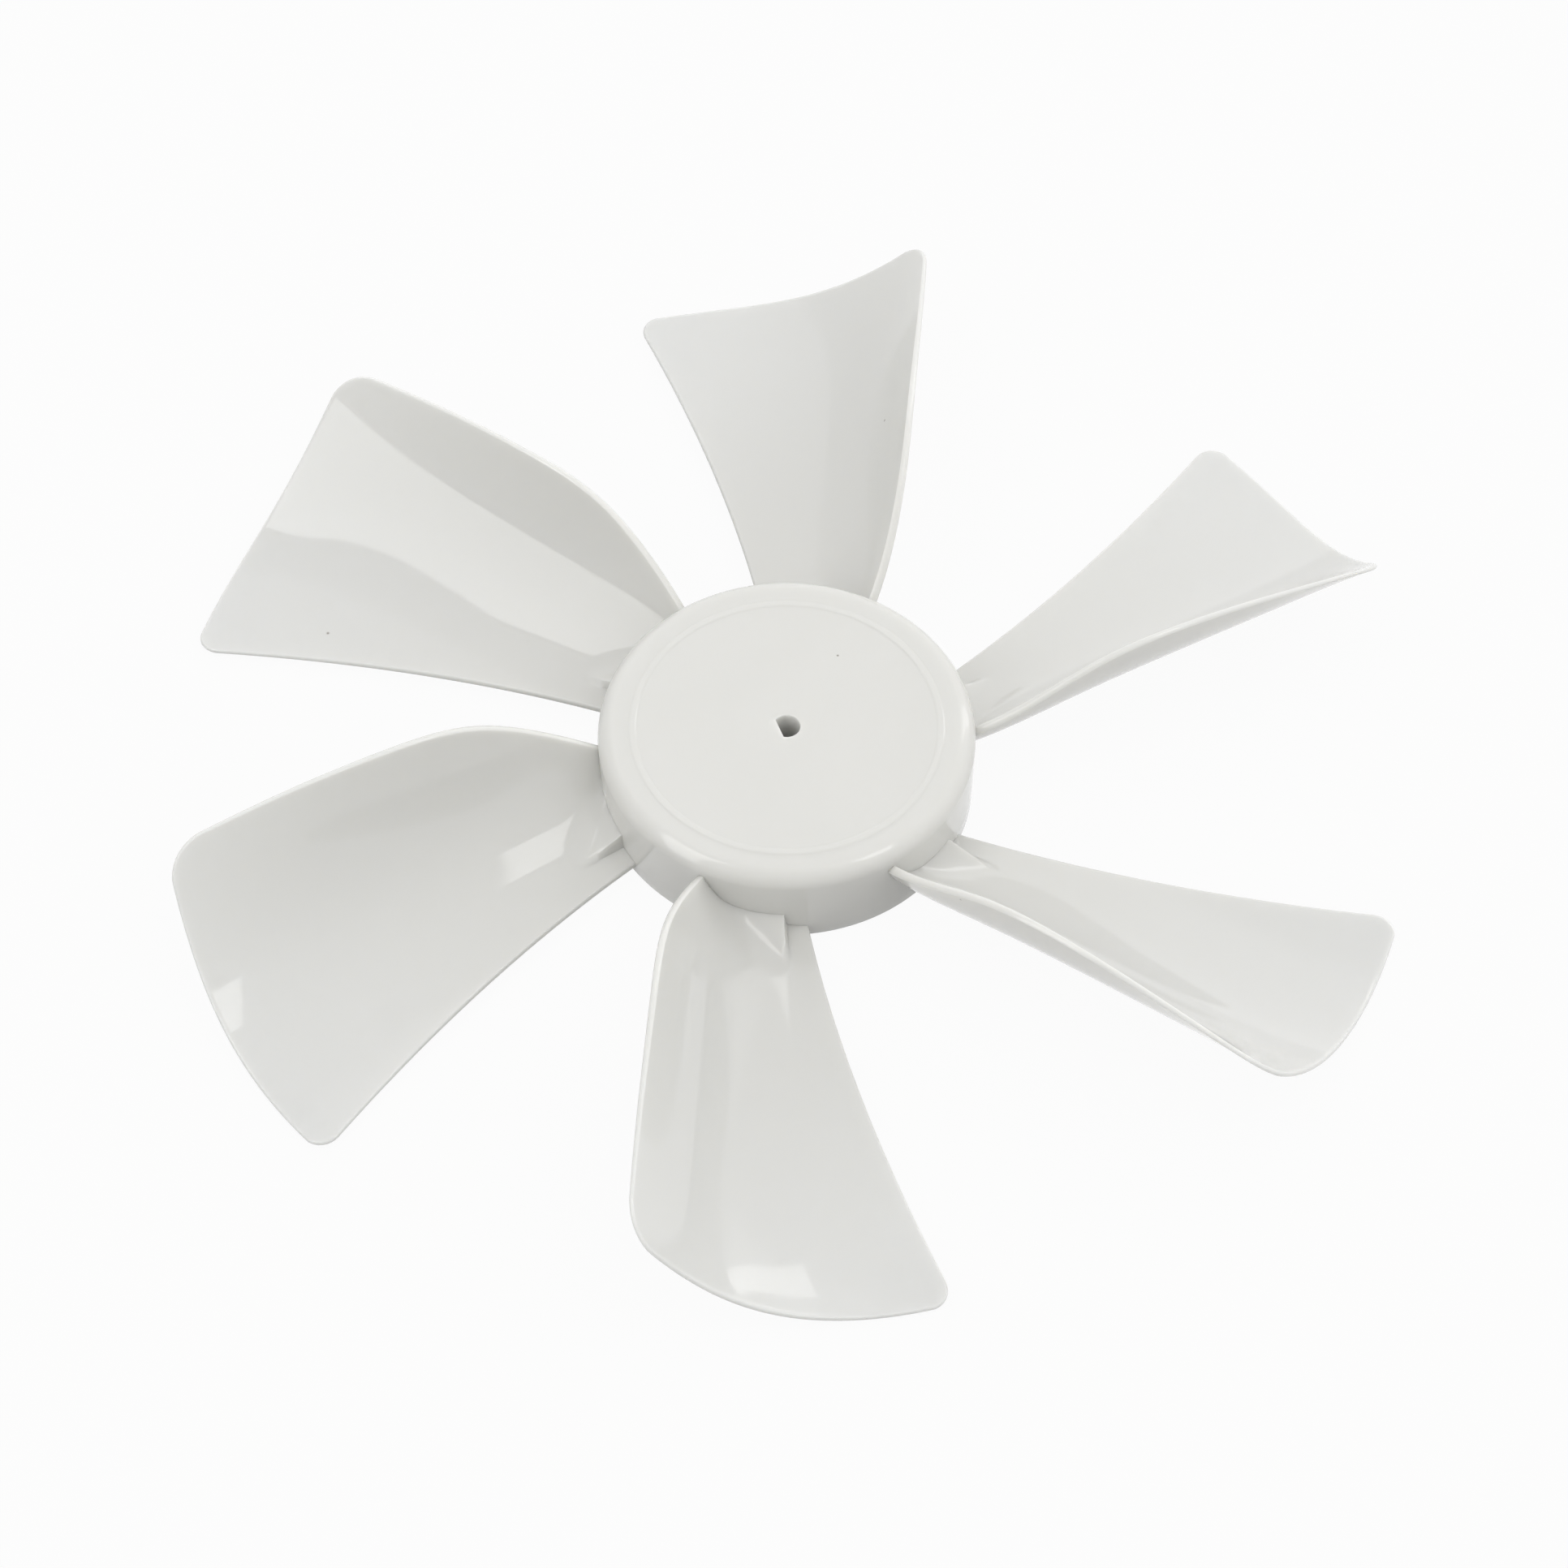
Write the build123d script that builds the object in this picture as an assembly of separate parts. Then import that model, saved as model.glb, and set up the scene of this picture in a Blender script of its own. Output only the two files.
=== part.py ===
from build123d import *
import math
import os

# Six-blade vent fan blade, moulded in one piece.
# Millimetres, +Z up. The fan axis is Z and the open rim of the hub lies in the plane Z = 0.
# One blade is drawn along +Y: its low edge lies towards -X and its raised edge towards +X.

# Hub, a cup open at the bottom, with a raised ring on its face
hub_radius = 22.85
hub_height = 11.65
hub_draft = 1.1
rim_round = 2.0
hub_wall = 1.9
hub_face = 2.2
ring_radius = 18.6
ring_width = 0.8
ring_height = 0.12

# Boss level with the open rim, with a D-shaped shaft bore, held by ribs
boss_radius = 4.6
bore_radius = 1.6
bore_flat = 0.89
bore_flat_angle = 201.5
rib_count = 6
rib_thickness = 1.3
rib_recess = 5.0

# Blade outline seen from above
blade_count = 6
tip_radius = 76.2
low_corner_radius = 2.6
high_corner_radius = 6.2
corner_ease = 0.1

# Low edge, a curve pulled by three points: root, bow and tip
low_root_across = -2.1
low_bow_across = -7.0
low_tip_across = -23.0
low_root_height = 2.0
low_bow_height = 1.6
low_tip_height = 0.0

# Raised edge, a smooth line through the root, heel, shoulder, crest, outer run and tip
high_root_across = 8.9
high_heel_across = 12.4
high_shoulder_across = 13.9
high_crest_across = 14.9
high_outer_across = 16.2
high_tip_across = 17.5
high_root_height = 8.15
high_heel_height = 14.25
high_shoulder_height = 18.3
high_crest_height = 19.35
high_outer_height = 18.3
high_tip_height = 15.6

# Where these points stand, as shares of the span from the hub wall to the tip circle
root_share = -0.08
bow_share = 0.465
low_tip_share = 1.07
heel_share = 0.097
shoulder_share = 0.246
crest_share = 0.434
outer_share = 0.696
high_tip_share = 1.052

# Curl of the blade: slope of the section at both edges in degrees, at root, middle and tip
low_slope = (9.75, -0.5, -1.2)
high_slope = (63.5, 74.0, 46.5)
# How far each edge slope carries into the section, as a share of the chord
low_carry = (0.455, 0.55, 0.48)
high_carry = (0.425, 0.40, 0.45)

# Blade thickness at the edges and in the body, from root to tip
edge_thickness = (1.1, 0.5)
body_thickness = (1.9, 0.85)
section_count = 7

# Gusset on the upper face at the root, ending in a step on the blade's centre line
gusset_height = 5.1
gusset_width = 8.2
gusset_heel_height = 4.2
gusset_heel_across = 7.4
gusset_foot_height = 1.5
gusset_foot_across = -1.2
gusset_end_height = 2.0
gusset_end_across = -0.3
gusset_reach = 6.3

# Derived sizes
span = tip_radius - hub_radius
foot_radius = hub_radius - hub_height * math.tan(math.radians(hub_draft))
root_radius = hub_radius - hub_wall * 0.6


def out(share):
    # Distance from the axis at a share of the blade's span
    return hub_radius + share * span


def along(values, share):
    # Smooth run of a value given at root, middle and tip
    root, middle, tip = values
    inner = (1 - share) * (1 - 2 * share)
    outer = share * (2 * share - 1)
    return root * inner + middle * 4 * share * (1 - share) + tip * outer


def taper(values, share):
    # Straight run of a value given at root and tip
    root, tip = values
    return root + (tip - root) * share


# Guide edges of the blade
low_edge = Bezier(
    (low_root_across, out(root_share), low_root_height),
    (low_bow_across, out(bow_share), low_bow_height),
    (low_tip_across, out(low_tip_share), low_tip_height),
)
high_edge = Spline(
    (high_root_across, out(root_share), high_root_height),
    (high_heel_across, out(heel_share), high_heel_height),
    (high_shoulder_across, out(shoulder_share), high_shoulder_height),
    (high_crest_across, out(crest_share), high_crest_height),
    (high_outer_across, out(outer_share), high_outer_height),
    (high_tip_across, out(high_tip_share), high_tip_height),
)


def blade_section(share):
    # Closed section standing between the two guide edges: curled upper line, thicker body, thin edges
    low = low_edge @ share
    high = high_edge @ share
    level = Vector(high.X - low.X, high.Y - low.Y, 0).normalized()
    up = Vector(0, 0, 1)
    chord = (high - low).length

    # Upper line, and the direction square to it at both edges
    low_angle = math.radians(along(low_slope, share))
    high_angle = math.radians(along(high_slope, share))
    low_run = level * math.cos(low_angle) + up * math.sin(low_angle)
    high_run = level * math.cos(high_angle) + up * math.sin(high_angle)
    low_under = level * math.sin(low_angle) - up * math.cos(low_angle)
    high_under = level * math.sin(high_angle) - up * math.cos(high_angle)
    low_pull = low + low_run * (chord * along(low_carry, share))
    high_pull = high - high_run * (chord * along(high_carry, share))

    # Lower line, set off by the edge thickness at its ends and by the body thickness at its pulls
    mid_run = (high_pull - low_pull).normalized()
    mid_under = level * mid_run.Z - up * mid_run.dot(level)
    edge = taper(edge_thickness, share)
    body = taper(body_thickness, share)
    low_bottom = low + low_under * edge
    high_bottom = high + high_under * edge
    low_under_pull = low_pull + (low_under + mid_under) * (body / (1 + low_under.dot(mid_under)))
    high_under_pull = high_pull + (high_under + mid_under) * (body / (1 + high_under.dot(mid_under)))

    upper = Bezier(low, low_pull, high_pull, high)
    lower = Bezier(high_bottom, high_under_pull, low_under_pull, low_bottom)
    return Wire([upper, Line(high, high_bottom), lower, Line(low_bottom, low)])


# Blade body, from inside the hub wall to the tip circle
sections = [blade_section(i / (section_count - 1)) for i in range(section_count)]
tall = 6 * hub_height
blade = Solid.make_loft(sections) & (Cylinder(tip_radius, tall) - Cylinder(root_radius, tall))


def tip_corners(body):
    # The two short edges where the blade's long edges meet the tip circle, low one first
    tip_face = body.faces().sort_by(Axis.Y)[-1]
    return tip_face.edges().sort_by(SortBy.LENGTH)[:2].sort_by(Axis.X)


def corner_cutter(corner, edge_curve, far_corner, radius):
    # Everything outside a round corner, drawn in the plane of the sheet where an edge meets the tip
    point = corner @ 0.5
    normal = corner % 0.5
    beyond = (edge_curve @ 1 - point).length
    edge_way = edge_curve @ (1 - (beyond + radius) / edge_curve.length) - point
    edge_way = (edge_way - normal * edge_way.dot(normal)).normalized()
    tip_way = normal.cross(Vector(point.X, point.Y, 0)).normalized()
    if tip_way.dot(far_corner @ 0.5 - point) < 0:
        tip_way = -tip_way
    # The circle that touches both ways, eased outwards so that it leaves no step on a curved edge
    inward = (edge_way + tip_way).normalized()
    half_sine = math.sqrt((1 - edge_way.dot(tip_way)) / 2)
    centre = point + inward * ((radius - corner_ease) / half_sine)
    edge_out = (inward.dot(edge_way) * edge_way - inward).normalized()
    tip_out = (inward.dot(tip_way) * tip_way - inward).normalized()
    wedge = make_face(Polyline(
        centre,
        centre + edge_out * (2 * radius),
        point - inward * (2 * radius),
        centre + tip_out * (2 * radius),
        centre,
    ))
    sheet = Plane(origin=centre, x_dir=tip_way, z_dir=normal)
    return extrude(wedge - sheet * Circle(radius), radius, dir=normal, both=True)


low_corner, high_corner = tip_corners(blade)
blade = blade - corner_cutter(low_corner, low_edge, high_corner, low_corner_radius)
blade = blade - corner_cutter(high_corner, high_edge, low_corner, high_corner_radius)

# Root gusset, with its underside sunk into the blade and running out to a point
gusset_start = hub_radius - hub_wall * 0.9
gusset_base = make_face(Polyline(
    (0, gusset_start, gusset_height),
    (gusset_width, gusset_start, gusset_height),
    (gusset_heel_across, gusset_start, gusset_heel_height),
    (gusset_foot_across, gusset_start, gusset_foot_height),
    (0, gusset_start, gusset_height),
))
gusset_end = Vertex(gusset_end_across, hub_radius + gusset_reach, gusset_end_height)
gusset = loft([gusset_base, gusset_end])

# Hub shell
profile = make_face(Polyline(
    (0, 0, 0),
    (foot_radius, 0, 0),
    (hub_radius, 0, hub_height),
    (0, 0, hub_height),
    (0, 0, 0),
))
rim = profile.vertices().sort_by(Axis.Z)[-2:].sort_by(Axis.X)[-1]
hub = revolve(fillet(rim, rim_round), Axis.Z)
cup_radius = foot_radius - hub_wall
cup_depth = hub_height - hub_face
hub = hub - Pos(0, 0, cup_depth / 2) * Cylinder(cup_radius, cup_depth)

# Boss, ribs and face ring, each sunk into the hub's face or wall
boss_length = hub_height - hub_face / 2
hub = hub + Pos(0, 0, boss_length / 2) * Cylinder(boss_radius, boss_length)
rib_length = cup_radius + hub_wall / 2
rib_height = hub_height - rib_recess - hub_face / 2
rib = Pos(rib_length / 2, 0, rib_recess + rib_height / 2) * Box(rib_length, rib_thickness, rib_height)
for i in range(rib_count):
    hub = hub + Rot(0, 0, 360 / rib_count * i) * rib
ring = Circle(ring_radius + ring_width / 2) - Circle(ring_radius - ring_width / 2)
hub = hub + Pos(0, 0, hub_height) * extrude(ring, ring_height)

# Fan: hub and blades joined, then the bore through the boss
fan = hub
for i in range(blade_count):
    turn = Rot(0, 0, -360 / blade_count * i)
    fan = fan + turn * blade
    fan = fan + turn * gusset
flat_cut = Pos(bore_flat + bore_radius, 0) * Rectangle(2 * bore_radius, 4 * bore_radius)
bore = Rot(0, 0, bore_flat_angle) * (Circle(bore_radius) - flat_cut)
fan = fan - Pos(0, 0, -hub_height) * extrude(bore, 3 * hub_height)

os.makedirs("parts", exist_ok=True)
fan_blade = fan.solid()
fan_blade.label = "fan_blade"
export_step(fan_blade, "parts/fan_blade.step")
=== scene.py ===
# %% [markdown]
# # A moulded vent fan blade
# This lesson dresses one moulded part: a cup-shaped hub with curled blades around it, shot in one go
# from glossy off-white plastic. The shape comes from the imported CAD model, which is loaded as a fixed
# frame in metres. Blender adds the finish, the studio and the camera. The box of the CAD model is kept,
# because the dressed part must not outgrow it.

# %% Load the frame
import bpy
import math
from mathutils import Matrix, Quaternion, Vector


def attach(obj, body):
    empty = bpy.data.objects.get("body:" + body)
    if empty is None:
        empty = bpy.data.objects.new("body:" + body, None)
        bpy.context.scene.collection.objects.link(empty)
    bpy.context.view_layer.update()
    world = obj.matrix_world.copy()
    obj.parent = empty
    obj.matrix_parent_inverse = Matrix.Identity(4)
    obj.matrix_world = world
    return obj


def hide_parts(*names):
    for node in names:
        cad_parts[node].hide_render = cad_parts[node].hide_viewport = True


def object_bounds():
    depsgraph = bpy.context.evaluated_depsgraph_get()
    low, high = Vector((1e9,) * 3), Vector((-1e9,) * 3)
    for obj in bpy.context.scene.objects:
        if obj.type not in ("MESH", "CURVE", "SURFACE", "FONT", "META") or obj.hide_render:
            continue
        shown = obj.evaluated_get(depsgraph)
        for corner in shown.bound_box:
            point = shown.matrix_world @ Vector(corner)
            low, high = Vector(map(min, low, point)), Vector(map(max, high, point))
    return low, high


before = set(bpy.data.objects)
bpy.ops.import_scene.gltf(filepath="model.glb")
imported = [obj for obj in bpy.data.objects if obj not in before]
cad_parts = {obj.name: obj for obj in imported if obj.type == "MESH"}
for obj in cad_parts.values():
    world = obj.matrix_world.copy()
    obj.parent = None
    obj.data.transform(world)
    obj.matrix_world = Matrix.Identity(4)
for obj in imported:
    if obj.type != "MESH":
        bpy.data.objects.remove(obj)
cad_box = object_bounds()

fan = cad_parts["fan_blade"]
bpy.ops.object.select_all(action="DESELECT")
print("fan blade:", len(fan.data.polygons), "faces, box", [list(c) for c in cad_box])

# %% [markdown]
# ## The shape, made smooth
# The CAD solid has the right form, but its blades end in flat, sharp edges and its mesh is loose
# triangles. The real moulding has softly rounded edges, and a root gusset that melts into the blade.
# So the node is replaced by a clean mesh of the same form, with quads that follow the blade.
# Operators such as extrude can't follow a curled, tapering sheet, so the blade's points are placed by
# the rule that the part's source uses: sections that stand between a low and a raised guide edge.

# %% Sizes in millimetres
import numpy as np

hub_radius, hub_height, hub_draft = 22.85, 11.65, 1.1
hub_wall, hub_face, rim_round = 1.9, 2.2, 2.0
draft_slope = math.tan(math.radians(hub_draft))
foot_radius = hub_radius - hub_height * draft_slope
root_radius = hub_radius - 0.6 * hub_wall
blade_count = 6
tip_circle = 76.2
tip_radius = tip_circle - 0.01  # a hair inside the solid's box
span = tip_circle - hub_radius
low_points = np.array([(-2.1, -0.08, 2.0), (-7.0, 0.465, 1.6), (-23.0, 1.07, 0.0)])
high_points = np.array([(8.9, -0.08, 8.15), (12.4, 0.097, 14.25), (13.9, 0.246, 18.3),
                        (14.9, 0.434, 19.35), (16.2, 0.696, 18.3), (17.5, 1.052, 15.6)])
for points in (low_points, high_points):
    points[:, 1] = hub_radius + points[:, 1] * span
print("blade span", round(span, 2), "mm, hub foot", round(foot_radius, 2), "mm")


# %% [markdown]
# Guide edges: the low edge is a curve pulled by three points. The raised edge is a smooth line through
# six points, whose slope at both ends follows the four points nearest to them.

# %% Guide edges
def pulled_curve(points, t):
    t = t[:, None]
    return points[0] * (1 - t) ** 2 + points[1] * 2 * t * (1 - t) + points[2] * t ** 2


def end_slope(knots, points):
    # Slope at the first knot of the cubic through four points
    total = np.zeros(3)
    for j in range(4):
        others = [k for k in range(4) if k != j]
        bottom = np.prod([knots[j] - knots[k] for k in others])
        top = sum(np.prod([knots[0] - knots[m] for m in others if m != k]) for k in others)
        total += points[j] * top / bottom
    return total


def smooth_line(points, t):
    knots = np.r_[0, np.cumsum(np.linalg.norm(np.diff(points, axis=0), axis=1))]
    n, gap = len(knots), np.diff(knots)
    rows, sides = np.eye(n), np.zeros((n, 3))
    sides[0] = end_slope(knots[:4], points[:4])
    sides[-1] = end_slope(knots[::-1][:4], points[::-1][:4])
    for i in range(1, n - 1):
        rows[i, i - 1:i + 2] = gap[i], 2 * (gap[i - 1] + gap[i]), gap[i - 1]
        before = (points[i] - points[i - 1]) / gap[i - 1]
        after = (points[i + 1] - points[i]) / gap[i]
        sides[i] = 3 * (gap[i] * before + gap[i - 1] * after)
    slope = np.linalg.solve(rows, sides)
    x = t * knots[-1]
    i = np.clip(np.searchsorted(knots, x, side="right") - 1, 0, n - 2)
    h, u = gap[i][:, None], ((x - knots[i]) / gap[i])[:, None]
    return (points[i] * (1 + 2 * u) * (1 - u) ** 2 + slope[i] * h * u * (1 - u) ** 2
            + points[i + 1] * u * u * (3 - 2 * u) + slope[i + 1] * h * u * u * (u - 1))


def even_run(curve):
    # A curve as a function of the share of its length
    length = np.r_[0, np.cumsum(np.linalg.norm(np.diff(curve, axis=0), axis=1))]
    return lambda s: np.stack([np.interp(s, length / length[-1], curve[:, k]) for k in range(3)], -1)


fine = np.linspace(0, 1, 4001)
low_edge = even_run(pulled_curve(low_points, fine))
high_edge = even_run(smooth_line(high_points, fine))
print("tip of the raised edge", np.round(high_edge(np.array(1.0)), 2))


# %% [markdown]
# The sheet: at every share of the span a section curls up from the low edge to the raised one. Its
# slopes, and how far they carry, are given at root, middle and tip. The underside is set off by a
# thickness that is small at the edges and larger in the body.

# %% The curled sheet
low_slope, high_slope = (9.75, -0.5, -1.2), (63.5, 74.0, 46.5)
low_carry, high_carry = (0.455, 0.55, 0.48), (0.425, 0.40, 0.45)
edge_thickness, body_thickness = (1.1, 0.5), (1.9, 0.85)


def along(values, s):
    root, middle, tip = values
    return root * (1 - s) * (1 - 2 * s) + middle * 4 * s * (1 - s) + tip * s * (2 * s - 1)


def unit(v):
    return v / np.linalg.norm(v, axis=-1, keepdims=True)


def dot(a, b):
    return (a * b).sum(-1, keepdims=True)


def cubic(a, b, c, d, t):
    return a * (1 - t) ** 3 + b * 3 * t * (1 - t) ** 2 + c * 3 * t * t * (1 - t) + d * t ** 3


def sheet(s, t):
    # Points of the upper and the lower face at span share s and chord share t
    s, t = np.broadcast_arrays(np.asarray(s, float), np.asarray(t, float))
    low, high, rise = low_edge(s), high_edge(s), np.array([0.0, 0.0, 1.0])
    level = unit((high - low) * [1, 1, 0])
    chord = np.linalg.norm(high - low, axis=-1)[..., None]
    s, t = s[..., None], t[..., None]
    low_angle = np.radians(along(low_slope, s))
    high_angle = np.radians(along(high_slope, s))
    low_under = level * np.sin(low_angle) - rise * np.cos(low_angle)
    high_under = level * np.sin(high_angle) - rise * np.cos(high_angle)
    low_run = level * np.cos(low_angle) + rise * np.sin(low_angle)
    high_run = level * np.cos(high_angle) + rise * np.sin(high_angle)
    low_pull = low + low_run * chord * along(low_carry, s)
    high_pull = high - high_run * chord * along(high_carry, s)
    mid_run = unit(high_pull - low_pull)
    mid_under = level * mid_run[..., 2:] - rise * dot(mid_run, level)
    edge = edge_thickness[0] + (edge_thickness[1] - edge_thickness[0]) * s
    body = body_thickness[0] + (body_thickness[1] - body_thickness[0]) * s
    low_set = low_pull + (low_under + mid_under) * (body / (1 + dot(low_under, mid_under)))
    high_set = high_pull + (high_under + mid_under) * (body / (1 + dot(high_under, mid_under)))
    upper = cubic(low, low_pull, high_pull, high, t)
    lower = cubic(low + low_under * edge, low_set, high_set, high + high_under * edge, t)
    return upper, lower


def middle(s, t):
    upper, lower = sheet(s, t)
    return (upper + lower) / 2


def chord_place(s, c, inset):
    # Chord share of a column c from 0 to 1 between two lines that lie an inset inside both edges
    chord = np.linalg.norm(high_edge(s) - low_edge(s), axis=-1)
    low_in = inset / (3 * chord * along(low_carry, s))
    high_in = inset / (3 * chord * along(high_carry, s))
    return low_in + (1 - low_in - high_in) * c


print("middle of the blade at", np.round(middle(0.5, 0.5), 2))


# %% [markdown]
# The outline: a blade ends on the tip circle, and its two tip corners are rounded in the plane of the
# sheet. For every line along the blade, the place where it first leaves this outline is searched.

# %% Round tip corners
def share_at_radius(c, radius, inset=0.0):
    # Span share at which a column of the sheet reaches a distance from the axis
    low, high = np.zeros_like(c), np.ones_like(c)
    for _ in range(40):
        half = (low + high) / 2
        p = middle(half, chord_place(half, c, inset))
        inside = np.hypot(p[..., 0], p[..., 1]) < radius
        low, high = np.where(inside, half, low), np.where(inside, high, half)
    return (low + high) / 2


def round_corner(t, far_t, radius, ease=0.02):
    # Centre of a corner's circle and the two ways from it that are square to the edge and the tip
    s = float(share_at_radius(np.array(t), tip_radius))
    upper, lower = sheet(s, t)
    point, normal = (upper + lower) / 2, unit(upper - lower)
    back = middle(s - radius / span, t) - point
    edge_way = unit(back - normal * dot(back, normal))
    tip_way = unit(np.cross(normal, point * [1, 1, 0]))
    far = middle(float(share_at_radius(np.array(far_t), tip_radius)), far_t)
    tip_way = tip_way * np.sign(dot(tip_way, far - point))
    inward = unit(edge_way + tip_way)
    half_sine = math.sqrt((1 - float(dot(edge_way, tip_way)[0])) / 2)
    centre = point + inward * (radius - ease) / half_sine
    edge_out = unit(dot(inward, edge_way) * edge_way - inward)
    tip_out = unit(dot(inward, tip_way) * tip_way - inward)
    return centre, edge_out, tip_out, radius


low_corner_radius, high_corner_radius = 2.6, 6.2
corners = [round_corner(0.0, 1.0, low_corner_radius), round_corner(1.0, 0.0, high_corner_radius)]
print("corner centres", [np.round(c[0], 1).tolist() for c in corners])


# %% Where each column leaves the outline
def is_outside(p, inset):
    out = np.hypot(p[..., 0], p[..., 1]) > tip_radius - inset
    for centre, edge_out, tip_out, radius in corners:
        d = p - centre
        a, b, c = d @ edge_out, d @ tip_out, float(edge_out @ tip_out)
        on_edge, on_tip = (a - c * b) / (1 - c * c), (b - c * a) / (1 - c * c)
        flat = on_edge[..., None] * edge_out + on_tip[..., None] * tip_out
        out |= (on_edge > 0) & (on_tip > 0) & (np.linalg.norm(flat, axis=-1) > radius - inset)
    return out


def outline_share(c, inset):
    low = share_at_radius(c, root_radius, inset)
    tip = share_at_radius(c, tip_radius - inset, inset)
    tries = low + (tip - low) * np.linspace(0.75, 1.0, 240)[:, None]
    gone = is_outside(middle(tries, chord_place(tries, c, inset)), inset)
    first = np.where(gone.any(0), gone.argmax(0), len(tries) - 1)
    column = np.arange(len(c))
    inner, outer = tries[np.maximum(first - 1, 0), column], tries[first, column]
    for _ in range(30):
        half = (inner + outer) / 2
        gone = is_outside(middle(half, chord_place(half, c, inset)), inset)
        inner, outer = np.where(gone, inner, half), np.where(gone, half, outer)
    return (inner + outer) / 2


print("span share at the tip, low to raised edge", np.round(outline_share(np.linspace(0, 1, 5), 0.0), 3))

# %% [markdown]
# The blade's mesh is a sleeve of quads: up one face, round the nose of an edge, down the other face
# and round the other nose. At the tip the sleeve closes over a nose of its own. Every nose is a half
# round that reaches just as far as the flat edge of the solid.

# %% Frame of the sleeve: rows along the span, columns across the chord
row_count, nose_steps, nose_reach = 56, 5, 0.24
column_share = (1 - np.cos(np.linspace(0, math.pi, 54))) / 2
column_share = np.sort(np.r_[column_share, np.linspace(0.155, 0.245, 14)])
columns = len(column_share)
root_row = share_at_radius(column_share, root_radius, nose_reach)
tip_row = outline_share(column_share, nose_reach)
even = np.linspace(0, 1, row_count)
row_share = 0.4 * even + 0.6 * (1 - np.cos(math.pi * even)) / 2
spans = root_row + (tip_row - root_row) * row_share[:, None]
upper, lower = sheet(spans, chord_place(spans, column_share, nose_reach))
print("sleeve:", row_count, "rows of", columns, "columns a face")

# %% [markdown]
# Root gusset: at the hub the raised side of the blade is thickened, and this ends in a small step on
# the blade's centre line. It could be a block laid on the blade, but the real one melts into it. So the
# upper face itself is lifted: it follows the higher of the blade and a ramp that falls outwards, with a
# soft change between them, and it drops back to the blade within a quarter of a millimetre at the step.

# %% Root gusset
gusset_height, gusset_fall, gusset_reach = 5.1, 3.1, 6.3
step_drift, step_width = -0.3, 0.26


def gusset_lift(p):
    x, y, z = p[..., 0], p[..., 1], p[..., 2]
    run = (y - (hub_radius - 0.9 * hub_wall)) / (gusset_reach + 0.9 * hub_wall)
    ramp, step = gusset_height - gusset_fall * run, step_drift * run
    soft = 0.6 + 0.8 * np.clip((x - step - 0.3) / 3, 0, 1)
    higher = np.maximum(z, ramp) + np.maximum(soft - np.abs(z - ramp), 0) ** 2 / (4 * soft)
    rise = np.clip((x - step + 0.02) / step_width, 0, 1)
    return (higher - z) * rise * rise * (3 - 2 * rise)


lift = gusset_lift(upper)
upper[..., 2] += lift
core, half = (upper + lower) / 2, (upper - lower) / 2
print("gusset: lifted by up to", round(float(lift.max()), 2), "mm")


# %% Outward ways at the edges and at the tip
def outward(line, normals, inside):
    # Square to a border line, in the sheet, away from a line further inside
    way = unit(np.cross(np.gradient(line, axis=0), normals))
    return way * np.sign(dot(way, line - inside))


low_out = outward(core[:, 0], half[:, 0], core[:, 4])
high_out = outward(core[:, -1], half[:, -1], core[:, -5])
tip_out = outward(core[-1], half[-1], core[-4])
low_out[-1] = tip_out[0] = unit(low_out[-2] + tip_out[1])
high_out[-1] = tip_out[-1] = unit(high_out[-2] + tip_out[-2])
print("outward at the low corner", np.round(low_out[-1], 2), "and at the raised one", np.round(high_out[-1], 2))

# %% Rings of the sleeve
nose_turns = np.linspace(0, math.pi, nose_steps + 2)[1:-1]


def ring(row, fold):
    # One ring; fold runs from 0 on the faces to a quarter turn on the tip's nose
    reach = tip_out * nose_reach * math.sin(fold) if row == row_count - 1 else 0.0
    top = core[row] + half[row] * math.cos(fold) + reach
    bottom = core[row] - half[row] * math.cos(fold) + reach
    limit = math.pi / 2 - fold

    def nose(column, out):
        points = []
        for turn in nose_turns:
            lift = min(max(math.pi / 2 - turn, -limit), limit)
            points.append(core[row, column] + half[row, column] * math.sin(lift)
                          + out[row] * nose_reach * math.cos(lift))
        return points

    return np.array([*top, *nose(-1, high_out), *bottom[::-1], *nose(0, low_out)[::-1]])


rings = [ring(row, 0.0) for row in range(row_count)]
rings += [ring(row_count - 1, math.pi / 2 * k / nose_steps) for k in range(1, nose_steps + 1)]
ring_size = len(rings[0])
print("rings:", len(rings), "of", ring_size, "points")


# %% Helper: a mesh object from points and faces, in millimetres, merged and turned outwards
def mesh_piece(name, points, faces):
    mesh = bpy.data.meshes.new(name)
    mesh.from_pydata((np.asarray(points) * 0.001).tolist(), [], faces)
    piece = bpy.data.objects.new(name, mesh)
    bpy.context.scene.collection.objects.link(piece)
    bpy.ops.object.select_all(action="DESELECT")
    piece.select_set(True)
    bpy.context.view_layer.objects.active = piece
    bpy.ops.object.mode_set(mode="EDIT")
    bpy.ops.mesh.select_all(action="SELECT")
    bpy.ops.mesh.remove_doubles(threshold=1e-6)
    bpy.ops.mesh.dissolve_degenerate(threshold=1e-7)
    bpy.ops.mesh.select_all(action="SELECT")
    bpy.ops.mesh.normals_make_consistent(inside=False)
    bpy.ops.object.mode_set(mode="OBJECT")
    print(name, len(mesh.vertices), "points", len(mesh.polygons), "faces")
    return piece


# %% First blade
faces = []
for i in range(len(rings) - 1):
    for j in range(ring_size):
        k = (j + 1) % ring_size
        faces.append((i * ring_size + j, i * ring_size + k, (i + 1) * ring_size + k, (i + 1) * ring_size + j))
faces.append(tuple(range(ring_size)))
first_blade = mesh_piece("blade", np.concatenate(rings), faces)

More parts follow.
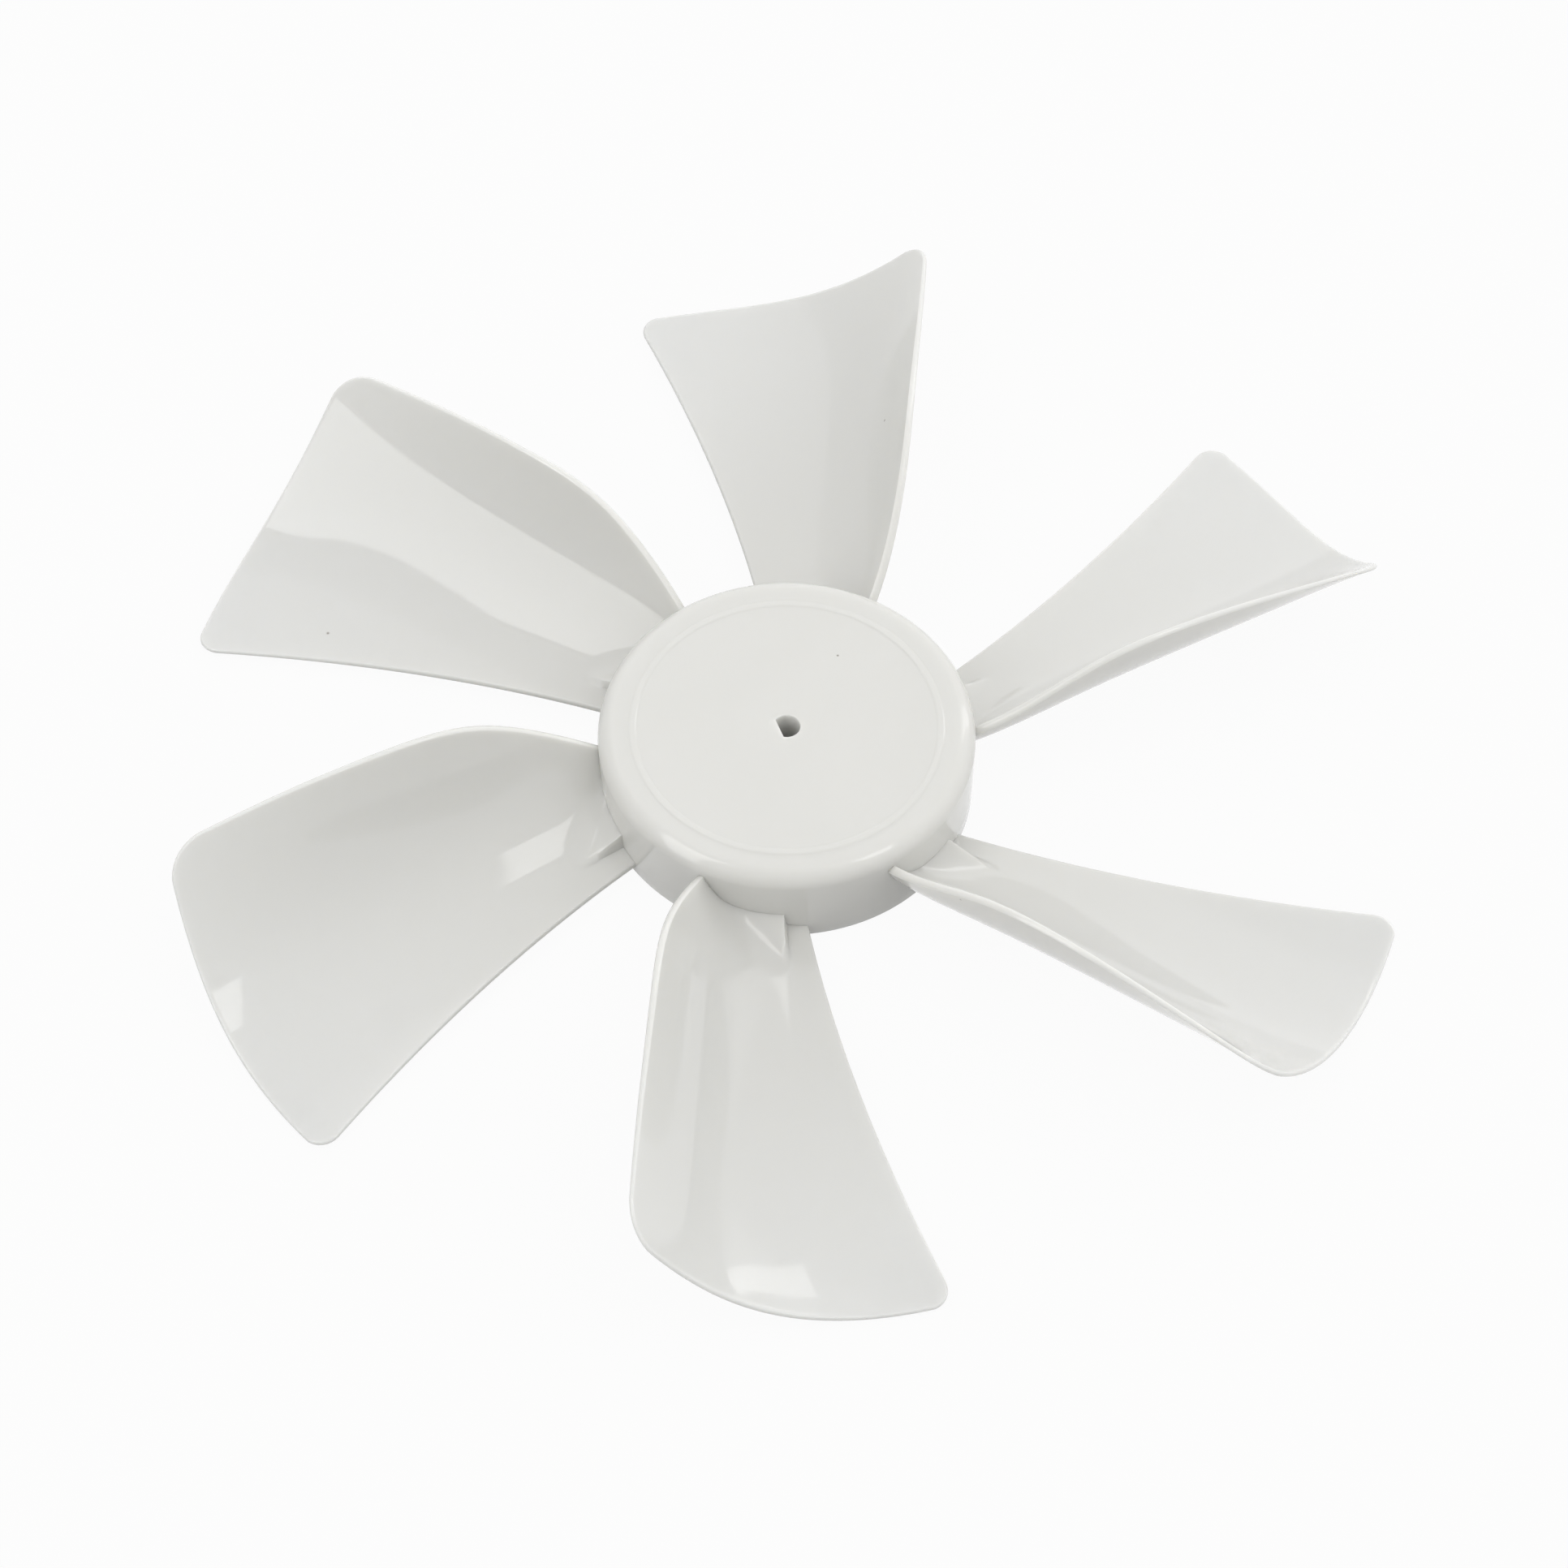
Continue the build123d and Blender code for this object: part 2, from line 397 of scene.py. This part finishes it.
# %% [markdown]
# The hub is a turned form: a cup with a drafted wall, a round rim, a faint raised ring on its face and a
# boss inside. Spinning one profile about the axis gives all of it. The bore is round after the spin, and
# the points past its flat are then pushed back, which makes the D that keys the shaft.

# %% Hub profile, as radius and height
ring_radius, ring_height = 18.6, 0.06
boss_radius, bore_radius, bore_flat = 4.6, 1.6, 0.89
cup_radius = foot_radius - hub_wall
ceiling = hub_height - hub_face
rim_middle = hub_height - rim_round
rim_centre = foot_radius + rim_middle * draft_slope - rim_round
profile = [(foot_radius - 0.2, 0), (foot_radius - 0.05, 0.05), (foot_radius, 0.2)]
profile += [(foot_radius + z * draft_slope, z) for z in (2.5, 5.0, 7.5)]
for turn in np.radians(np.linspace(-hub_draft, 90, 15)):
    profile.append((rim_centre + rim_round * math.cos(turn), rim_middle + rim_round * math.sin(turn)))
profile += [(19.9, hub_height), (19.15, hub_height)]
profile += [(ring_radius + a, hub_height + ring_height * b) for a, b in
            ((0.42, 0.2), (0.34, 0.75), (0.24, 1), (-0.24, 1), (-0.34, 0.75), (-0.42, 0.2), (-0.55, 0))]
profile += [(r, hub_height) for r in (15, 11, 7.5, 5, 3.2, 2.5)]
lip = ((0.2, 0), (0.06, 0.06), (0, 0.2))
profile += [(bore_radius + a, hub_height - b) for a, b in lip]
profile += [(bore_radius, z) for z in (9, 6, 3)]
profile += [(bore_radius + a, b) for a, b in lip[::-1]]
profile += [(boss_radius - a, b) for a, b in lip]
profile += [(boss_radius, 5), (boss_radius, ceiling - 0.35)]
profile += [(boss_radius + 0.1, ceiling - 0.1), (boss_radius + 0.35, ceiling), (12, ceiling)]
profile += [(cup_radius - 0.35, ceiling), (cup_radius - 0.1, ceiling - 0.1), (cup_radius, ceiling - 0.35)]
profile += [(cup_radius, 5), (cup_radius, 0.2), (cup_radius + 0.05, 0.05), (cup_radius + 0.2, 0)]
print("hub profile:", len(profile), "points")

# %% Spin the profile
mesh = bpy.data.meshes.new("hub")
count = len(profile)
mesh.from_pydata([(r * 0.001, 0, z * 0.001) for r, z in profile],
                 [(i, (i + 1) % count) for i in range(count)], [])
hub = bpy.data.objects.new("hub", mesh)
bpy.context.scene.collection.objects.link(hub)
bpy.ops.object.select_all(action="DESELECT")
hub.select_set(True)
bpy.context.view_layer.objects.active = hub
bpy.ops.object.mode_set(mode="EDIT")
bpy.ops.mesh.select_all(action="SELECT")
bpy.ops.mesh.spin(steps=180, angle=2 * math.pi, center=(0, 0, 0), axis=(0, 0, 1))
bpy.ops.mesh.select_all(action="SELECT")
bpy.ops.mesh.remove_doubles(threshold=1e-6)
bpy.ops.mesh.normals_make_consistent(inside=False)
bpy.ops.object.mode_set(mode="OBJECT")
print("hub:", len(mesh.vertices), "points", len(mesh.polygons), "faces")

# %% Flat of the bore
flat_turn = math.radians(201.5)
flat_way = Vector((math.cos(flat_turn), math.sin(flat_turn), 0))
moved = 0
for v in mesh.vertices:
    r = math.hypot(v.co.x, v.co.y) * 1000
    past = v.co.dot(flat_way) * 1000 - (bore_flat + r - bore_radius)
    if r < bore_radius + 0.55 and past > 0:
        v.co -= flat_way * past * 0.001
        moved += 1
print("bore flat:", moved, "points pushed back")

# %% [markdown]
# Ribs: six thin walls tie the boss to the cup. One bar is stretched from a cube, its edges are rounded
# with a bevel, and turned copies with their own mesh make the rest.

# %% One rib
bpy.ops.object.select_all(action="DESELECT")
bpy.ops.mesh.primitive_cube_add(size=1, location=(0.01285, 0, 0.00775))
rib = bpy.context.object
rib.name = "rib"
rib.scale = (0.0175, 0.0013, 0.0055)
bpy.ops.object.transform_apply(location=True, rotation=True, scale=True)
bpy.ops.object.mode_set(mode="EDIT")
bpy.ops.mesh.select_all(action="SELECT")
bpy.ops.mesh.bevel(offset=0.00018, segments=2)
bpy.ops.object.mode_set(mode="OBJECT")
print("rib:", len(rib.data.polygons), "faces")

# %% Turned copies of the blade and the rib
bpy.ops.object.select_all(action="DESELECT")
for piece in (first_blade, rib):
    for i in range(blade_count):
        copy = piece.copy()
        copy.data = piece.data.copy()
        copy.data.transform(Matrix.Rotation(math.radians(-360 / blade_count * i), 4, "Z"))
        bpy.context.scene.collection.objects.link(copy)
        copy.select_set(True)
        bpy.context.view_layer.objects.active = copy
    bpy.data.objects.remove(piece)
bpy.ops.object.join()
arms = bpy.context.view_layer.objects.active
print("arms:", len(arms.data.polygons), "faces")

# %% [markdown]
# One skin: the plastic lets a little light in, and light that enters must not meet walls hidden inside
# the part. So the hub, the blades and the ribs are joined by a boolean union into one closed skin.

# %% Union
bpy.ops.object.select_all(action="DESELECT")
hub.select_set(True)
bpy.context.view_layer.objects.active = hub
union = hub.modifiers.new("union", "BOOLEAN")
union.operation = "UNION"
union.solver = "EXACT"
union.object = arms
bpy.ops.object.modifier_apply(modifier=union.name)
bpy.data.objects.remove(arms)
moulding = hub
moulding.name = "fan_moulding"
bpy.ops.object.mode_set(mode="EDIT")
bpy.ops.mesh.select_all(action="DESELECT")
bpy.ops.mesh.select_non_manifold()
bpy.ops.object.mode_set(mode="OBJECT")
print("open or crossed points after the union:", sum(v.select for v in moulding.data.vertices))

# %% Ride, replace and smooth
bpy.ops.object.shade_smooth_by_angle(angle=math.radians(42))
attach(moulding, "root")
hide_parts("fan_blade")
moulding.data.calc_loop_triangles()
print("moulding:", len(moulding.data.loop_triangles), "triangles")

# %% [markdown]
# Check: the new mesh must keep the form of the solid. The distance from its points to the nearest
# place on the solid's surface shows it. The hub is a plain turned form, so only the blades are measured.

# %% Distance to the solid
from mathutils.bvhtree import BVHTree

solid = BVHTree.FromPolygons([v.co for v in fan.data.vertices], [tuple(f.vertices) for f in fan.data.polygons])
gaps = []
for v in moulding.data.vertices:
    place, normal, index, gap = solid.find_nearest(v.co)
    if math.hypot(v.co.x, v.co.y) * 1000 > hub_radius + 0.35:
        gaps.append((gap * 1000, tuple(round(c * 1000, 2) for c in v.co)))
gaps.sort(reverse=True)
print("to the solid: mean", round(sum(g[0] for g in gaps) / len(gaps), 3), "mm, largest", gaps[0])

# %% [markdown]
# ## The plastic
# The real blade is one glossy thermoplastic, slightly warm and a little translucent at its thin edges.
# A flat colour would look like paint, so the finish is built from effects that a moulding really has:
# a faint cloudiness of the melt, a fine ripple in the gloss, and a few dark specks burnt into it.
# Each effect is a node group on Object coordinates, so it stays put on the part in every view.
# Besides these, a cooler tone towards the tips is painted light: it stands in for light that passes through
# them.

# %% Helper: an empty node group with named sockets
def effect_group(name, inputs, outputs):
    group = bpy.data.node_groups.new(name, "ShaderNodeTree")
    for label, kind, value in inputs:
        socket = group.interface.new_socket(label, in_out="INPUT", socket_type=kind)
        if value is not None:
            socket.default_value = value
    for label, kind in outputs:
        group.interface.new_socket(label, in_out="OUTPUT", socket_type=kind)
    return group, group.nodes.new("NodeGroupInput"), group.nodes.new("NodeGroupOutput")


# %% [markdown]
# Melt cloud: hot plastic flows outwards from the hub and sets with soft streaks of a slightly
# different shade. A broad noise, warped by a second one, gives such soft fields with no hard edge.

# %% Melt cloud group
melt_cloud, start, end = effect_group(
    "melt_cloud",
    [("Position", "NodeSocketVector", None), ("Scale", "NodeSocketFloat", 30.0)],
    [("Cloud", "NodeSocketFloat")],
)
field = melt_cloud.nodes.new("ShaderNodeTexNoise")
field.inputs["Detail"].default_value = 3.0
field.inputs["Roughness"].default_value = 0.45
field.inputs["Distortion"].default_value = 0.8
melt_cloud.links.new(start.outputs["Position"], field.inputs["Vector"])
melt_cloud.links.new(start.outputs["Scale"], field.inputs["Scale"])
melt_cloud.links.new(field.outputs["Fac"], end.inputs["Cloud"])
print("melt_cloud:", len(melt_cloud.nodes), "nodes")

# %% [markdown]
# Speck: a burnt grain in the plastic is a dot well under a millimetre wide. The distance from one
# place on the part, turned into a mask by a soft threshold, draws it with no image.

# %% Speck group
speck, start, end = effect_group(
    "speck",
    [("Position", "NodeSocketVector", None), ("Place", "NodeSocketVector", None),
     ("Radius", "NodeSocketFloat", 0.0003)],
    [("Mask", "NodeSocketFloat")],
)
reach = speck.nodes.new("ShaderNodeVectorMath")
reach.operation = "DISTANCE"
fade = speck.nodes.new("ShaderNodeMapRange")
fade.interpolation_type = "SMOOTHSTEP"
fade.inputs["From Min"].default_value = 0.0
fade.inputs["To Min"].default_value = 1.0
fade.inputs["To Max"].default_value = 0.0
speck.links.new(start.outputs["Position"], reach.inputs[0])
speck.links.new(start.outputs["Place"], reach.inputs[1])
speck.links.new(reach.outputs["Value"], fade.inputs["Value"])
speck.links.new(start.outputs["Radius"], fade.inputs["From Max"])
speck.links.new(fade.outputs["Result"], end.inputs["Mask"])
print("speck:", len(speck.nodes), "nodes")

# %% [markdown]
# Tip curl: the bright patch on the front blade's tip is wider than one soft box draws on a plain sheet.
# One guess is that cooling has pulled the last centimetre up by a few tenths of a millimetre. That is too
# little to see in the outline, but it turns the reflections, and no other blade shows it. A bump from a
# height would break at the blade's edges, so the group tilts the normal itself: back against the blade's
# way, by a slope that grows towards the tip, and only on the flat part of the upper face.

# %% Tip curl group
tip_curl, start, end = effect_group(
    "tip_curl",
    [("Position", "NodeSocketVector", None), ("Normal", "NodeSocketVector", None),
     ("Way", "NodeSocketVector", (0.0, -1.0, 0.0)), ("Start", "NodeSocketFloat", 0.0642),
     ("End", "NodeSocketFloat", 0.0762), ("Slope", "NodeSocketFloat", 0.1)],
    [("Normal", "NodeSocketVector")],
)
outwards = tip_curl.nodes.new("ShaderNodeVectorMath")
outwards.operation = "DOT_PRODUCT"
past = tip_curl.nodes.new("ShaderNodeMapRange")
face = tip_curl.nodes.new("ShaderNodeSeparateXYZ")
level = tip_curl.nodes.new("ShaderNodeMapRange")
level.interpolation_type = "SMOOTHSTEP"
level.inputs["From Min"].default_value = 0.78
level.inputs["From Max"].default_value = 0.93
slope = tip_curl.nodes.new("ShaderNodeMath")
slope.operation = "MULTIPLY"
tilt = tip_curl.nodes.new("ShaderNodeVectorMath")
tilt.operation = "SCALE"
lean = tip_curl.nodes.new("ShaderNodeVectorMath")
lean.operation = "SUBTRACT"
whole = tip_curl.nodes.new("ShaderNodeVectorMath")
whole.operation = "NORMALIZE"
for output, target in (
    (start.outputs["Position"], outwards.inputs[0]), (start.outputs["Way"], outwards.inputs[1]),
    (outwards.outputs["Value"], past.inputs["Value"]), (start.outputs["Start"], past.inputs["From Min"]),
    (start.outputs["End"], past.inputs["From Max"]), (start.outputs["Slope"], past.inputs["To Max"]),
    (start.outputs["Normal"], face.inputs["Vector"]), (past.outputs["Result"], slope.inputs[0]),
    (face.outputs["Z"], level.inputs["Value"]), (level.outputs["Result"], slope.inputs[1]),
    (start.outputs["Way"], tilt.inputs[0]),
    (slope.outputs["Value"], tilt.inputs["Scale"]), (start.outputs["Normal"], lean.inputs[0]),
    (tilt.outputs["Vector"], lean.inputs[1]), (lean.outputs["Vector"], whole.inputs[0]),
    (whole.outputs["Vector"], end.inputs["Normal"]),
):
    tip_curl.links.new(output, target)
print("tip_curl:", len(tip_curl.nodes), "nodes")

# %% [markdown]
# The material joins them. The gloss comes from the shader itself: a low roughness that varies a
# little, and a faint bump for the ripple that keeps a reflection from looking like a mirror's.

# %% Plastic material
plastic = bpy.data.materials.new("off_white_plastic")
plastic.use_nodes = True
nodes, links = plastic.node_tree.nodes, plastic.node_tree.links
shader = nodes["Principled BSDF"]
shader.inputs["IOR"].default_value = 1.5
shader.inputs["Subsurface Weight"].default_value = 1.0
shader.inputs["Subsurface Radius"].default_value = (1.0, 0.98, 0.93)
shader.inputs["Subsurface Scale"].default_value = 0.0012
place = nodes.new("ShaderNodeTexCoord")
cloud = nodes.new("ShaderNodeGroup")
cloud.node_tree = melt_cloud
cloud.inputs["Scale"].default_value = 34.0
links.new(place.outputs["Object"], cloud.inputs["Position"])

shade = nodes.new("ShaderNodeMix")
shade.data_type = "RGBA"
shade.inputs["A"].default_value = (0.672, 0.670, 0.643, 1)
shade.inputs["B"].default_value = (0.706, 0.703, 0.680, 1)
links.new(cloud.outputs["Cloud"], shade.inputs["Factor"])
print("plastic: cloud from", [round(v, 3) for v in shade.inputs["A"].default_value[:3]])

# %% Painted light: a cooler, flatter colour towards the thin tips, for the light they let through
plan = nodes.new("ShaderNodeVectorMath")
plan.operation = "MULTIPLY"
plan.inputs[1].default_value = (1, 1, 0)
links.new(place.outputs["Object"], plan.inputs[0])
distance = nodes.new("ShaderNodeVectorMath")
distance.operation = "LENGTH"
links.new(plan.outputs["Vector"], distance.inputs[0])
thin = nodes.new("ShaderNodeMapRange")
thin.inputs["From Min"].default_value = 0.024
thin.inputs["From Max"].default_value = 0.076
links.new(distance.outputs["Value"], thin.inputs["Value"])
# Painted light: this tip colour stands in for the light that passes through the thin plastic
painted_tip_light = nodes.new("ShaderNodeMix")
painted_tip_light.data_type = "RGBA"
painted_tip_light.inputs["B"].default_value = (0.690, 0.691, 0.675, 1)
links.new(thin.outputs["Result"], painted_tip_light.inputs["Factor"])
links.new(shade.outputs["Result"], painted_tip_light.inputs["A"])
colour = painted_tip_light.outputs["Result"]
print("tip tone:", [round(v, 3) for v in painted_tip_light.inputs["B"].default_value[:3]])

# %% Specks on the hub's face and on three blades
speck_places = [
    (0.00613, 0.01065, 0.01165, 0.00022),
    (0.01201, 0.04794, 0.01137, 0.00026),
    (-0.05705, 0.02181, 0.00086, 0.00030),
    (0.02050, -0.02782, 0.01532, 0.00024),
]
for x, y, z, radius in speck_places:
    dot = nodes.new("ShaderNodeGroup")
    dot.node_tree = speck
    dot.inputs["Place"].default_value = (x, y, z)
    dot.inputs["Radius"].default_value = radius
    links.new(place.outputs["Object"], dot.inputs["Position"])
    stain = nodes.new("ShaderNodeMix")
    stain.data_type = "RGBA"
    stain.inputs["B"].default_value = (0.22, 0.20, 0.17, 1)
    links.new(dot.outputs["Mask"], stain.inputs["Factor"])
    links.new(colour, stain.inputs["A"])
    colour = stain.outputs["Result"]
links.new(colour, shader.inputs["Base Color"])
print("specks:", len(speck_places))

# %% Gloss and ripple
gloss = nodes.new("ShaderNodeMapRange")
gloss.inputs["To Min"].default_value = 0.045
gloss.inputs["To Max"].default_value = 0.075
links.new(cloud.outputs["Cloud"], gloss.inputs["Value"])
links.new(gloss.outputs["Result"], shader.inputs["Roughness"])
ripple = nodes.new("ShaderNodeTexNoise")
ripple.inputs["Scale"].default_value = 160.0
ripple.inputs["Detail"].default_value = 2.0
links.new(place.outputs["Object"], ripple.inputs["Vector"])
bump = nodes.new("ShaderNodeBump")
bump.inputs["Strength"].default_value = 0.03
bump.inputs["Distance"].default_value = 0.0004
links.new(ripple.outputs["Fac"], bump.inputs["Height"])
curl = nodes.new("ShaderNodeGroup")
curl.node_tree = tip_curl
links.new(place.outputs["Object"], curl.inputs["Position"])
links.new(place.outputs["Normal"], curl.inputs["Normal"])
links.new(curl.outputs["Normal"], bump.inputs["Normal"])
links.new(bump.outputs["Normal"], shader.inputs["Normal"])
moulding.data.materials.clear()
moulding.data.materials.append(plastic)
print("plastic: roughness", gloss.inputs["To Min"].default_value, "to", gloss.inputs["To Max"].default_value)

# %% [markdown]
# ## The studio
# The part lies on its blade tips on a plain white floor. The floor shows the camera white, so the
# picture has a white ground, and lets a little of its real shading through, so that it keeps the shadow.

# %% Floor
floor_level = cad_box[0][2] - 0.0002
bpy.ops.mesh.primitive_plane_add(size=6, location=(0, 0, floor_level))
floor = bpy.context.object
floor.name = "floor"
white = bpy.data.materials.new("floor_white")
white.use_nodes = True
nodes, links = white.node_tree.nodes, white.node_tree.links
paper = nodes["Principled BSDF"]
paper.inputs["Base Color"].default_value = (0.45, 0.45, 0.44, 1)
paper.inputs["Roughness"].default_value = 0.9
glow = nodes.new("ShaderNodeEmission")
glow.inputs["Color"].default_value = (1, 1, 1, 1)
glow.inputs["Strength"].default_value = 1.0
ray = nodes.new("ShaderNodeLightPath")
seen = nodes.new("ShaderNodeMath")
seen.operation = "MAXIMUM"
links.new(ray.outputs["Is Camera Ray"], seen.inputs[0])
links.new(ray.outputs["Is Glossy Ray"], seen.inputs[1])
seen_through = nodes.new("ShaderNodeMath")
seen_through.operation = "MAXIMUM"
links.new(seen.outputs["Value"], seen_through.inputs[0])
links.new(ray.outputs["Is Transmission Ray"], seen_through.inputs[1])
share = nodes.new("ShaderNodeMath")
share.operation = "MULTIPLY"
share.inputs[1].default_value = 0.95
links.new(seen_through.outputs["Value"], share.inputs[0])
blend = nodes.new("ShaderNodeMixShader")
links.new(share.outputs["Value"], blend.inputs["Fac"])
links.new(paper.outputs["BSDF"], blend.inputs[1])
links.new(glow.outputs["Emission"], blend.inputs[2])
links.new(blend.outputs["Shader"], nodes["Material Output"].inputs["Surface"])
floor.data.materials.append(white)
print("floor at", round(floor_level * 1000, 2), "mm")

# %% [markdown]
# The surround is a pale room, brighter on the right and overhead, because the blades that face there are
# brighter. The camera, reflections and rays that pass through things see plain white.

# %% World: a pale surround
world = bpy.data.worlds.new("pale_surround")
bpy.context.scene.world = world
world.use_nodes = True
nodes, links = world.node_tree.nodes, world.node_tree.links
surround = nodes["Background"]
surround.inputs["Color"].default_value = (1, 1, 1, 1)
ray = nodes.new("ShaderNodeLightPath")
seen = nodes.new("ShaderNodeMath")
seen.operation = "MAXIMUM"
links.new(ray.outputs["Is Camera Ray"], seen.inputs[0])
links.new(ray.outputs["Is Glossy Ray"], seen.inputs[1])
seen_through = nodes.new("ShaderNodeMath")
seen_through.operation = "MAXIMUM"
links.new(seen.outputs["Value"], seen_through.inputs[0])
links.new(ray.outputs["Is Transmission Ray"], seen_through.inputs[1])
way = nodes.new("ShaderNodeTexCoord")
split = nodes.new("ShaderNodeSeparateXYZ")
links.new(way.outputs["Generated"], split.inputs["Vector"])
right = nodes.new("ShaderNodeMapRange")
right.inputs["To Min"].default_value = 0.46
right.inputs["To Max"].default_value = 1.32
links.new(split.outputs["X"], right.inputs["Value"])
overhead = nodes.new("ShaderNodeMapRange")
overhead.inputs["From Min"].default_value = 0.3
overhead.inputs["To Max"].default_value = 0.30
links.new(split.outputs["Z"], overhead.inputs["Value"])
room = nodes.new("ShaderNodeMath")
room.operation = "ADD"
links.new(right.outputs["Result"], room.inputs[0])
links.new(overhead.outputs["Result"], room.inputs[1])
level = nodes.new("ShaderNodeMix")
level.inputs["B"].default_value = 1.0
links.new(seen_through.outputs["Value"], level.inputs["Factor"])
links.new(room.outputs["Value"], level.inputs["A"])
links.new(level.outputs["Result"], surround.inputs["Strength"])
print("surround: from", round(right.inputs["To Min"].default_value, 2), "on the left and low")

# %% [markdown]
# Soft boxes: on a glossy part a light is seen twice, as brightness and as its own reflection. Their
# directions, sizes and tilts follow from where their edges show on the blades: a tall bank at the left
# front draws the band on the left blade, one high on the right the short streak on the blade below it,
# and a slanted strip behind the patch on the front blade's tip. A wide, weak bank low at the back ends in
# a line down the upper blade and lights the hub's face. The camera never sees the boxes.

# %% Helper: a soft box at an azimuth from +Y towards +X and a height above the floor
def soft_box(name, azimuth, height, distance, wide, tall, power, roll=0.0):
    a, h = math.radians(azimuth), math.radians(height)
    way = Vector((math.sin(a) * math.cos(h), math.cos(a) * math.cos(h), math.sin(h)))
    lamp = bpy.data.lights.new(name, "AREA")
    lamp.shape = "RECTANGLE"
    lamp.size, lamp.size_y = wide, tall
    lamp.energy = power
    box = bpy.data.objects.new(name, lamp)
    box.location = way * distance
    box.visible_camera = False
    turn = (-way).to_track_quat("-Z", "Y") @ Quaternion((0, 0, 1), math.radians(roll))
    box.rotation_euler = turn.to_euler()
    bpy.context.scene.collection.objects.link(box)
    print(name, "at", [round(c, 2) for c in box.location])
    return box


# %% Soft boxes
soft_box("left_bank", -117.5, 43.9, 1.2, 0.39, 1.65, 5.1, roll=19.5)
soft_box("right_bank", 95.0, 68.5, 1.2, 0.49, 0.19, 0.8, roll=40.3)
soft_box("back_strip", 41.8, 32.5, 1.2, 0.89, 0.13, 0.72, roll=65.1)
soft_box("back_bank", 5.7, 25.5, 1.2, 2.17, 1.40, 4.0, roll=21)

# %% [markdown]
# ## The camera
# The camera stands in front, about 54 degrees above the floor, with a long lens. These values come
# from fitting the outlines of the hub and all the blades, at a picture of 1932 by 1932.

# %% Camera
lens = bpy.data.cameras.new("photo_view")
lens.sensor_fit = "HORIZONTAL"
lens.sensor_width = 36.0
lens.lens = 36.0 * 6982.768 / 1932
lens.clip_start = 0.01
camera = bpy.data.objects.new("photo_view", lens)
camera.rotation_mode = "ZYX"
camera.rotation_euler = (math.radians(90 - 54.037), 0.0, math.radians(0.4))
camera.location = (-0.000289, -0.406247, 0.559590)
bpy.context.scene.collection.objects.link(camera)
bpy.context.scene.camera = camera
bpy.context.scene.view_settings.view_transform = "Standard"
print("lens", round(lens.lens, 2), "mm")
